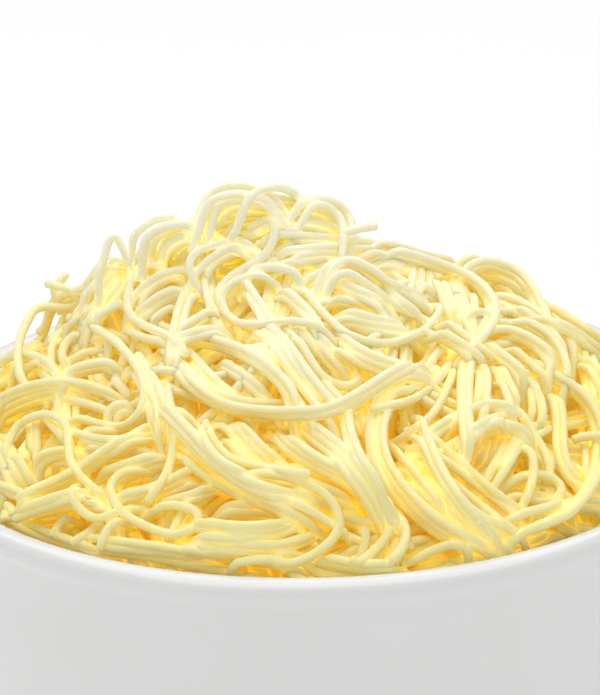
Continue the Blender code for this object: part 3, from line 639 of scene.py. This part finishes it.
def drifting(draw, count, length, depth):
    """Smooth seeded values for the samples of a path, that change over a length."""
    knots = draw.normal(0, depth, int(count * PATH_STEP / length) + 4)
    at = np.linspace(0, len(knots) - 1, count)
    return smoothed(np.interp(at, np.arange(len(knots)), knots), length / PATH_STEP / 3)


def sideways(uv):
    """Across the path on the heap's surface, one real millimetre long."""
    step = np.gradient(uv, axis=0)
    s = np.maximum(np.linalg.norm(uv, axis=1), 1e-6)
    out = uv / s[:, None]
    round_ = np.stack([-out[:, 1], out[:, 0]], -1)
    shrink = np.interp(s, ARC, ARC_R) / s
    outward = (step * out).sum(1)
    turning = shrink * (step * round_).sum(1)
    size = np.maximum(np.hypot(outward, turning), 1e-9)
    return (-turning / size)[:, None] * out + (outward / size / shrink)[:, None] * round_


def crossings(uv):
    """How far over its own earlier stretch each sample of a path must pass, or None."""
    touching = 2 * PRESSED_R
    apart = ((uv[:, None] - uv[None]) ** 2).sum(-1)
    sample = np.arange(len(uv))
    later = sample[:, None] - sample[None] > 3 * touching / PATH_STEP
    hits = later & (apart < touching**2)
    if not hits.any():
        return None
    return np.where(hits, np.sqrt(np.maximum(touching**2 - apart, 0)), -np.inf)


def contact_height(uv):
    """The height of a strand's centre where it touches the pile at each place along a path."""
    across = sideways(uv)[:, None] * CONTACTS[:, None]
    under = pile[cells(uv[:, None] + across)]
    return (under + np.sqrt(PRESSED_R**2 - CONTACTS**2)).max(1)


def settled(need, own):
    """The height a limp strand takes, no lower than need, that passes over its own stretches."""
    height = need
    for _ in range(DROOP_ROUNDS):
        height = np.maximum(need, smoothed(height, DROOP_WIDTH))
        if own is not None:
            height = np.maximum(height, (height[None] + own).max(1))
    return smoothed(height, DROOP_WIDTH / 2)


def heap_up(uv, height):
    """Adds a laid strand to the pile."""
    across = sideways(uv)[:, None] * PRINTS[:, None]
    rows, columns = cells(uv[:, None] + across)
    np.maximum.at(pile, (rows, columns), height[:, None] + np.sqrt(PRESSED_R**2 - PRINTS**2))


def inside_bowl(points):
    """The points, drawn in where they would touch the bowl's wall."""
    r = np.hypot(points[:, 0], points[:, 1])
    points[:, :2] *= np.minimum(1, (RIM_R - WALL_CLEARANCE - NOODLE_R) / np.maximum(r, 1e-6))[:, None]
    return points


def first_met(clear):
    """The share of each line of sight at which it first meets the pile, and whether it does. Where
    it passes clear, the strand spans in the open, as far away as its feet."""
    enters = (clear[:, :-1] > 0) & (clear[:, 1:] <= 0)
    lands = enters.any(1)
    pick = np.where(lands, enters.argmax(1), clear.argmin(1))
    shares = SIGHT_SHARES[pick]
    sample = np.arange(len(shares))
    if lands.any():
        shares = np.interp(sample, sample[lands], shares[lands])
    return shares, lands


def seen_on_heap(drawn):
    """The points in space of a strand that shows at these places in the camera's view and rests on
    the pile."""
    level = np.array([1.0, 0.0, 0.0])
    raised = np.array([0.0, math.sin(EYE_TILT), math.cos(EYE_TILT)])
    across = math.cos(EYE_ROLL) * level - math.sin(EYE_ROLL) * raised
    up = math.cos(EYE_ROLL) * raised + math.sin(EYE_ROLL) * level
    eye = VIEW_MIDDLE + EYE_DISTANCE * np.array([0.0, -math.cos(EYE_TILT), math.sin(EYE_TILT)])
    sight = VIEW_MIDDLE + drawn[:, :1] * across + drawn[:, 1:] * up - eye
    uv, height = off_dome(eye + sight[:, None] * SIGHT_SHARES[:, None])
    shares, lands = first_met(height - pile[cells(uv)] - NOODLE_R)
    uv, height = off_dome(eye + sight * shares[:, None])
    least = np.where(lands, -np.inf, height)
    for _ in range(SIGHT_ROUNDS):
        uv = smoothed(uv, PATH_BELL)
        place = on_dome(uv, settled(np.maximum(contact_height(uv), least), None))
        shares = ((place - eye) * sight).sum(1) / (sight**2).sum(1)
        place = eye + sight * shares[:, None]
        uv, height = off_dome(place)
    return place


def lay(uv, height, tucked, tone, sides):
    """Adds a strand, with one end, both or neither tucked in, to the strands and to the pile."""
    far = np.linalg.norm(uv, axis=1)
    uv = uv * np.minimum(1, PATH_LIMIT / np.maximum(far, 1e-6))[:, None]
    reach = min(int(TUCK_LENGTH / PATH_STEP), len(height) // 3)
    dive = TUCK_DEPTH * (1 + np.cos(np.linspace(0, math.pi, reach))) / 2
    if tucked[0]:
        height[:reach] -= dive
    if tucked[1]:
        height[-reach:] -= dive[::-1]
    heap_up(uv, height)
    strands.append((inside_bowl(on_dome(uv, height)), tone, sides))


def longest_inside(uv):
    """The longest stretch of a path that stays within the bowl."""
    inside = np.linalg.norm(uv, axis=1) < PATH_LIMIT
    edges = np.flatnonzero(np.diff(np.concatenate([[0], inside.astype(int), [0]])))
    if len(edges) == 0:
        return uv[:0]
    starts = edges[::2]
    ends = edges[1::2]
    longest = int((ends - starts).argmax())
    return uv[starts[longest] : ends[longest]]


def lay_lock(draw, path, count, pitch, drift, sides):
    """Adds a lock: count strands side by side along a path, that drift across one another."""
    across = sideways(path)
    rows = (np.arange(count) - (count - 1) / 2) * pitch
    for row in draw.permutation(rows):
        shift = row + drifting(draw, len(path), LOCK_LENGTH, drift)
        start, stop = (draw.uniform(0, LOCK_STAGGER, 2) / PATH_STEP).astype(int)
        uv = (path + across * shift[:, None])[start : len(path) - stop]
        uv = longest_inside(even_steps(uv, PATH_STEP))
        if len(uv) > SHORTEST_STRAND:
            height = settled(contact_height(uv), crossings(uv))
            lay(uv, height, (True, True), draw.uniform(), sides)


def wandering(draw, lengths, bends):
    """A seeded bent path somewhere on the heap."""
    s = ARC_LIMIT * math.sqrt(draw.uniform(0, 1))
    turn, heading = draw.uniform(0, 2 * math.pi, 2)
    count = int(draw.uniform(*lengths) / PATH_STEP)
    tightest = draw.uniform(*bends)
    bend = BEND_SHARE * draw.uniform(-1, 1) + drifting(draw, count, BEND_LENGTH, BEND_DRIFT)
    headings = heading + np.cumsum(np.clip(bend, -1, 1)) * PATH_STEP / tightest
    steps = PATH_STEP * np.stack([np.cos(headings), np.sin(headings)], -1)
    return np.array([s * math.cos(turn), s * math.sin(turn)]) + np.cumsum(steps, 0)


def lowest_path(draw, tries, lengths, bends, below=np.inf):
    """The one of some seeded paths that lies lowest on the heap so far, or None if none is below."""
    best = None
    lowest = below
    for _ in range(tries):
        path = longest_inside(wandering(draw, lengths, bends))
        if len(path) < SHORTEST_PATH:
            continue
        levels = (pile - surface)[cells(path)]
        level = levels.mean() + UNEVENNESS * levels.std()
        if level < lowest:
            best = path
            lowest = level
    return best


def lay_bed():
    """Fills the heap with locks, each in the lowest place of those tried."""
    draw = np.random.default_rng(BED_SEED)
    for _ in range(BED_LOCKS):
        path = lowest_path(draw, BED_TRIES, BED_LENGTHS, BED_BENDS, BED_TOP)
        if path is not None:
            count = draw.integers(*BED_COUNTS)
            lay_lock(draw, path, count, draw.uniform(*BED_PITCHES), draw.uniform(*BED_DRIFTS), BED_SIDES)


def lay_loose():
    """Adds loose strands and small locks over the bed."""
    draw = np.random.default_rng(LOOSE_SEED)
    for _ in range(LOOSE_LOCKS):
        path = lowest_path(draw, LOOSE_TRIES, LOOSE_LENGTHS, LOOSE_BENDS)
        if path is not None:
            lay_lock(draw, path, draw.integers(*LOOSE_COUNTS), LOOSE_PITCH, LOOSE_DRIFT, BED_SIDES)


def longer(drawn, before, after):
    """A path that goes straight on by a length before its start and after its end."""
    first = (drawn[0] - drawn[END_SAMPLES]) / END_SAMPLES
    last = (drawn[-1] - drawn[-1 - END_SAMPLES]) / END_SAMPLES
    head = drawn[0] + np.outer(np.arange(int(before / PATH_STEP), 0, -1), first)
    tail = drawn[-1] + np.outer(np.arange(1, int(after / PATH_STEP) + 1), last)
    return np.concatenate([head, drawn, tail])


def lay_drawn():
    """Adds the strands that are drawn in the camera's view."""
    draw = np.random.default_rng(DRAWN_SEED)
    for name, (count, points) in DRAWN.items():
        tucked = (name not in FREE_STARTS, name not in FREE_ENDS)
        traced = through(points)
        for row in range(count):
            stagger = draw.uniform(0, DRAWN_STAGGER, 2) * tucked * (count > 1)
            drawn = longer(traced, *stagger)
            step = np.gradient(drawn, axis=0)
            normal = np.stack([-step[:, 1], step[:, 0]], -1) / np.linalg.norm(step, axis=1)[:, None]
            slant = np.hypot(normal[:, 0], VIEW_SLANT * normal[:, 1])
            shift = DRAWN_PITCH * (row - (count - 1) / 2)
            if count > 1:
                shift = shift + drifting(draw, len(drawn), DRIFT_LENGTH, DRAWN_DRIFT)
            line = drawn + normal * (shift * slant)[:, None]
            uv, height = off_dome(even_steps(seen_on_heap(line), PATH_STEP))
            own = crossings(uv)
            if own is not None:
                height = settled(height, own)
            lay(uv, height, tucked, draw.uniform(), TOP_SIDES)


# ---------------- meshes
def piece(name, mesh, finish, node):
    """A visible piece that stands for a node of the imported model."""
    obj = bpy.data.objects.new(name, mesh)
    bpy.context.scene.collection.objects.link(obj)
    mesh.materials.append(finish)
    mesh.polygons.foreach_set("use_smooth", np.ones(len(mesh.polygons), bool))
    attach(obj, "root")
    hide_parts(node)
    return obj


def tube(path, sides, radius):
    """Rings of points round a path, with blunt rounded ends."""
    centre = closer_in_bends(path)
    ahead = np.gradient(centre, axis=0)
    ahead /= np.linalg.norm(ahead, axis=1)[:, None]
    side = np.cross(ahead[0], FIRST_SIDE)
    turned_sides = np.empty_like(centre)
    for index, direction in enumerate(ahead):
        side = side - direction * (side @ direction)
        side /= math.sqrt(side @ side)
        turned_sides[index] = side
    other = np.cross(ahead, turned_sides)
    order = [0, *range(len(centre)), len(centre) - 1]
    centre = centre[order]
    centre[0] -= ahead[0] * CAP_ROUND
    centre[-1] += ahead[-1] * CAP_ROUND
    radii = np.full(len(order), radius)
    radii[[0, -1]] *= CAP_SHARE
    angles = np.linspace(0, 2 * math.pi, sides, endpoint=False)
    ring = np.cos(angles)[None, :, None] * turned_sides[order][:, None]
    ring = ring + np.sin(angles)[None, :, None] * other[order][:, None]
    return centre[:, None] + ring * radii[:, None, None]


def under_cover():
    """The height over the dome, on the grid, of the pile's surface with its gaps evened out."""
    cover = pile
    for axis in (0, 1):
        cover = smoothed(np.moveaxis(cover, axis, 0), COVER_WIDTH)
        cover = np.moveaxis(cover, 0, axis)
    return cover


def joined(name, tubes, cover):
    """One mesh of many tubes. Its attributes are how deep each point lies under the cover of the
    strands round it, in mm, and a tone for each strand."""
    points = []
    quads = []
    caps = []
    depths = []
    tones = []
    base = 0
    for rings, tone in tubes:
        rows, sides = rings.shape[:2]
        here = np.arange(sides)
        following = (here + 1) % sides
        start = base + sides * np.arange(rows - 1)[:, None]
        near = [start + here, start + following]
        far = [start + sides + following, start + sides + here]
        quads.append(np.stack(near + far, -1).reshape(-1, 4))
        caps.append(base + here[::-1])
        caps.append(base + (rows - 1) * sides + here)
        points.append(rings.reshape(-1, 3))
        uv, height = off_dome(rings.reshape(-1, 3))
        depths.append(cover[cells(uv)] - height)
        tones.append(np.full(rows * sides, tone))
        base += rows * sides
    faces = [tuple(face) for block in quads for face in block.tolist()]
    faces += [tuple(face.tolist()) for face in caps]
    mesh = bpy.data.meshes.new(name)
    mesh.from_pydata((np.concatenate(points) * MM).tolist(), [], faces)
    for label, values in (("depth", depths), ("tone", tones)):
        layer = mesh.attributes.new(label, "FLOAT", "POINT")
        layer.data.foreach_set("value", np.concatenate(values).astype(np.float32))
    return mesh


def make_strands(finish):
    """The strands, lowest first, in pieces that are closed once they have enough triangles."""
    draw = np.random.default_rng(DRAWN_SEED + 1)
    cover = under_cover()
    tubes = []
    triangles = 0
    number = 0
    for index, (path, tone, sides) in enumerate(strands):
        rings = tube(path, sides, NOODLE_R * draw.normal(1, NOODLE_SPREAD))
        tubes.append((rings, tone))
        triangles += 2 * sides * len(rings)
        last = index == len(strands) - 1
        if triangles > TRIANGLES_A_PIECE or last:
            number += 1
            name = f"capellini_{number}"
            piece(name, joined(name, tubes, cover), finish, "capellini_heap")
            tubes = []
            triangles = 0


def make_core(finish):
    """What lies under the strands, out of sight but for the deepest gaps."""
    arcs = np.linspace(0, ARC[-1], CORE_RINGS)
    turns = np.linspace(0, 2 * math.pi, CORE_STEPS, endpoint=False)
    uv = np.stack([arcs[:, None] * np.cos(turns), arcs[:, None] * np.sin(turns)], -1)
    place = on_dome(uv, bed_height(uv) - CORE_DEPTH)
    place = inside_bowl(place.reshape(-1, 3))
    rows = []
    for ring in range(CORE_RINGS - 1):
        for step in range(CORE_STEPS):
            following = (step + 1) % CORE_STEPS
            inner = ring * CORE_STEPS
            outer = inner + CORE_STEPS
            rows.append((inner + step, outer + step, outer + following, inner + following))
    mesh = bpy.data.meshes.new("heap_core")
    mesh.from_pydata((place * MM).tolist(), [], rows)
    piece("heap_core", mesh, finish, "capellini_heap")


def make_bowl():
    points, faces = turned(bowl_profile(), BOWL_STEPS)
    mesh = bpy.data.meshes.new("glazed_bowl")
    mesh.from_pydata(points, [], faces)
    piece("glazed_bowl", mesh, glaze(), "bowl")


# ---------------- finishes
def new_material(name):
    material = bpy.data.materials.new(name)
    material.use_nodes = True
    tree = material.node_tree
    return material, tree, tree.nodes["Principled BSDF"]


def noise(tree, size, detail=2.0):
    """A noise texture whose lumps measure about size millimetres."""
    place = tree.nodes.new("ShaderNodeTexCoord")
    texture = tree.nodes.new("ShaderNodeTexNoise")
    texture.inputs["Scale"].default_value = 1 / (size * MM)
    texture.inputs["Detail"].default_value = detail
    tree.links.new(place.outputs["Object"], texture.inputs["Vector"])
    return texture.outputs["Fac"]


def ranged(tree, value, low, high, to_low, to_high):
    node = tree.nodes.new("ShaderNodeMapRange")
    node.inputs["From Min"].default_value = low
    node.inputs["From Max"].default_value = high
    node.inputs["To Min"].default_value = to_low
    node.inputs["To Max"].default_value = to_high
    tree.links.new(value, node.inputs["Value"])
    return node.outputs["Result"]


def mixed(tree, share, low, high):
    """A colour between two, each a plain colour or the output of a node."""
    node = tree.nodes.new("ShaderNodeMix")
    node.data_type = "RGBA"
    tree.links.new(share, node.inputs["Factor"])
    for name, colour in (("A", low), ("B", high)):
        socket = next(s for s in node.inputs if s.name == name and s.type == "RGBA")
        if isinstance(colour, tuple):
            socket.default_value = (*colour, 1)
        else:
            tree.links.new(colour, socket)
    return next(s for s in node.outputs if s.type == "RGBA")


def bumped(tree, shader, value, depth):
    node = tree.nodes.new("ShaderNodeBump")
    node.inputs["Distance"].default_value = depth * MM
    tree.links.new(value, node.inputs["Height"])
    tree.links.new(node.outputs["Normal"], shader.inputs["Normal"])


def height_in_mm(tree):
    """How high a point lies."""
    place = tree.nodes.new("ShaderNodeTexCoord")
    parts = tree.nodes.new("ShaderNodeSeparateXYZ")
    tree.links.new(place.outputs["Object"], parts.inputs["Vector"])
    in_mm = tree.nodes.new("ShaderNodeMath")
    in_mm.operation = "DIVIDE"
    in_mm.inputs[1].default_value = MM
    tree.links.new(parts.outputs["Z"], in_mm.inputs[0])
    return in_mm.outputs["Value"]


def attribute(tree, name):
    node = tree.nodes.new("ShaderNodeAttribute")
    node.attribute_name = name
    return node.outputs["Fac"]


def cooked_pasta():
    """Moist and milky: painted light makes it pale high up, and painted shade makes it more golden down
    in the heap, where its own light gathers, with a faint painted glow there.
    """
    material, tree, shader = new_material("cooked_capellini")
    depth = attribute(tree, "depth")
    colour = mixed(tree, attribute(tree, "tone"), (0.935, 0.85, 0.42), (0.925, 0.83, 0.35))
    cloudy = ranged(tree, noise(tree, 4.0), 0.35, 0.7, 0.0, 0.5)
    colour = mixed(tree, cloudy, colour, (0.94, 0.87, 0.48))
    # Painted shade: more golden the deeper a point lies under the strands round it
    for low, high, shaded in PAINTED_SHADE_BY_DEPTH:
        colour = mixed(tree, ranged(tree, depth, low, high, 0.0, 1.0), colour, shaded)
    # Painted light: paler the higher a point lies, where the light from above falls
    painted_light = ranged(tree, height_in_mm(tree), *PAINTED_LIGHT_HEIGHTS, 0.0, 0.85)
    colour = mixed(tree, painted_light, colour, (0.97, 0.945, 0.76))
    tree.links.new(colour, shader.inputs["Base Color"])
    tree.links.new(ranged(tree, noise(tree, 1.2), 0.3, 0.7, 0.30, 0.45), shader.inputs["Roughness"])
    bumped(tree, shader, noise(tree, 0.5, 3.0), 0.03)
    shader.subsurface_method = "BURLEY"
    shader.inputs["Subsurface Weight"].default_value = 0.85
    shader.inputs["Subsurface Radius"].default_value = (1.0, 1.0, 0.9)
    shader.inputs["Subsurface Scale"].default_value = 1.2 * MM
    shader.inputs["Specular IOR Level"].default_value = 0.2
    shader.inputs["IOR"].default_value = 1.42
    # Painted glow: a faint golden emission that grows with depth in the heap, in place of light passing
    # through strands
    shader.inputs["Emission Color"].default_value = (0.8, 0.74, 0.08, 1)
    tree.links.new(ranged(tree, depth, 0.0, 2.0, 0.0, 0.06), shader.inputs["Emission Strength"])
    return material


def packed_pasta():
    """The mass between the strands, in a painted deep golden shade, with a faint painted glow."""
    material, tree, shader = new_material("packed_capellini")
    # Painted shade: the deep gold of the gaps between strands
    colour = mixed(tree, noise(tree, 2.0), (0.96, 0.74, 0.12), (0.97, 0.80, 0.20))
    tree.links.new(colour, shader.inputs["Base Color"])
    shader.inputs["Roughness"].default_value = 0.5
    shader.inputs["Specular IOR Level"].default_value = 0.2
    # Painted glow, faint and golden
    shader.inputs["Emission Color"].default_value = (0.8, 0.70, 0.02, 1)
    shader.inputs["Emission Strength"].default_value = 0.06
    bumped(tree, shader, noise(tree, 1.5), 0.5)
    return material


def glaze():
    """Smooth white glaze, a little uneven."""
    material, tree, shader = new_material("white_glaze")
    colour = mixed(tree, noise(tree, 18.0), (0.83, 0.83, 0.818), (0.85, 0.85, 0.845))
    tree.links.new(colour, shader.inputs["Base Color"])
    tree.links.new(ranged(tree, noise(tree, 6.0), 0.3, 0.7, 0.10, 0.20), shader.inputs["Roughness"])
    bumped(tree, shader, noise(tree, 9.0, 1.0), 0.05)
    shader.inputs["Coat Weight"].default_value = 0.5
    shader.inputs["Coat Roughness"].default_value = 0.06
    return material


def pale_floor():
    material, tree, shader = new_material("pale_floor")
    colour = mixed(tree, noise(tree, 60.0), (0.96, 0.96, 0.96), (0.97, 0.97, 0.97))
    tree.links.new(colour, shader.inputs["Base Color"])
    shader.inputs["Roughness"].default_value = 0.7
    return material


# ---------------- stage
def make_stage():
    mesh = bpy.data.meshes.new("floor")
    corners = [(FLOOR_HALF * x, FLOOR_HALF * y, 0) for x, y in ((-1, -1), (1, -1), (1, 1), (-1, 1))]
    mesh.from_pydata(corners, [], [(0, 1, 2, 3)])
    mesh.materials.append(pale_floor())
    floor = bpy.data.objects.new("floor", mesh)
    bpy.context.scene.collection.objects.link(floor)
    light = bpy.data.lights.new("key", "AREA")
    light.size = KEY_SIZE
    light.energy = KEY_POWER
    lamp = bpy.data.objects.new("key", light)
    lamp.location = KEY_PLACE
    aim = Vector(VIEW_MIDDLE * MM) - Vector(KEY_PLACE)
    lamp.rotation_euler = aim.to_track_quat("-Z", "Y").to_euler()
    bpy.context.scene.collection.objects.link(lamp)
    world = bpy.data.worlds.new("studio")
    world.use_nodes = True
    background = world.node_tree.nodes["Background"]
    background.inputs["Color"].default_value = (1, 1, 1, 1)
    background.inputs["Strength"].default_value = WORLD_LIGHT
    bpy.context.scene.world = world
    bpy.context.scene.view_settings.view_transform = "Standard"
    bpy.context.scene.cycles.diffuse_bounces = LIGHT_BOUNCES
    bpy.context.scene.cycles.max_bounces = LIGHT_BOUNCES


def make_camera():
    camera = bpy.data.cameras.new("camera")
    camera.lens = VIEW_LENS
    camera.sensor_width = SENSOR_WIDTH
    view = bpy.data.objects.new("camera", camera)
    eye = EYE_DISTANCE * Vector((0, -math.cos(EYE_TILT), math.sin(EYE_TILT)))
    place = Matrix.Translation((Vector(VIEW_MIDDLE) + eye) * MM)
    tilted = place @ Matrix.Rotation(math.pi / 2 - EYE_TILT, 4, "X")
    view.matrix_world = tilted @ Matrix.Rotation(-EYE_ROLL, 4, "Z")
    bpy.context.scene.collection.objects.link(view)
    bpy.context.scene.camera = view


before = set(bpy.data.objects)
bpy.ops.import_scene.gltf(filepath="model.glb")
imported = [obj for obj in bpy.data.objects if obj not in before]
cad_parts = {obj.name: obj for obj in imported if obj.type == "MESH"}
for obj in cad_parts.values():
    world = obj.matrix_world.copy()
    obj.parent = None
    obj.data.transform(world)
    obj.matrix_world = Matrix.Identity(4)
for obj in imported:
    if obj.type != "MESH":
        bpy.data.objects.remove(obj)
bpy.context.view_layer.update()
make_camera()
lay_bed()
lay_loose()
lay_drawn()
make_strands(cooked_pasta())
make_core(packed_pasta())
make_bowl()
make_stage()
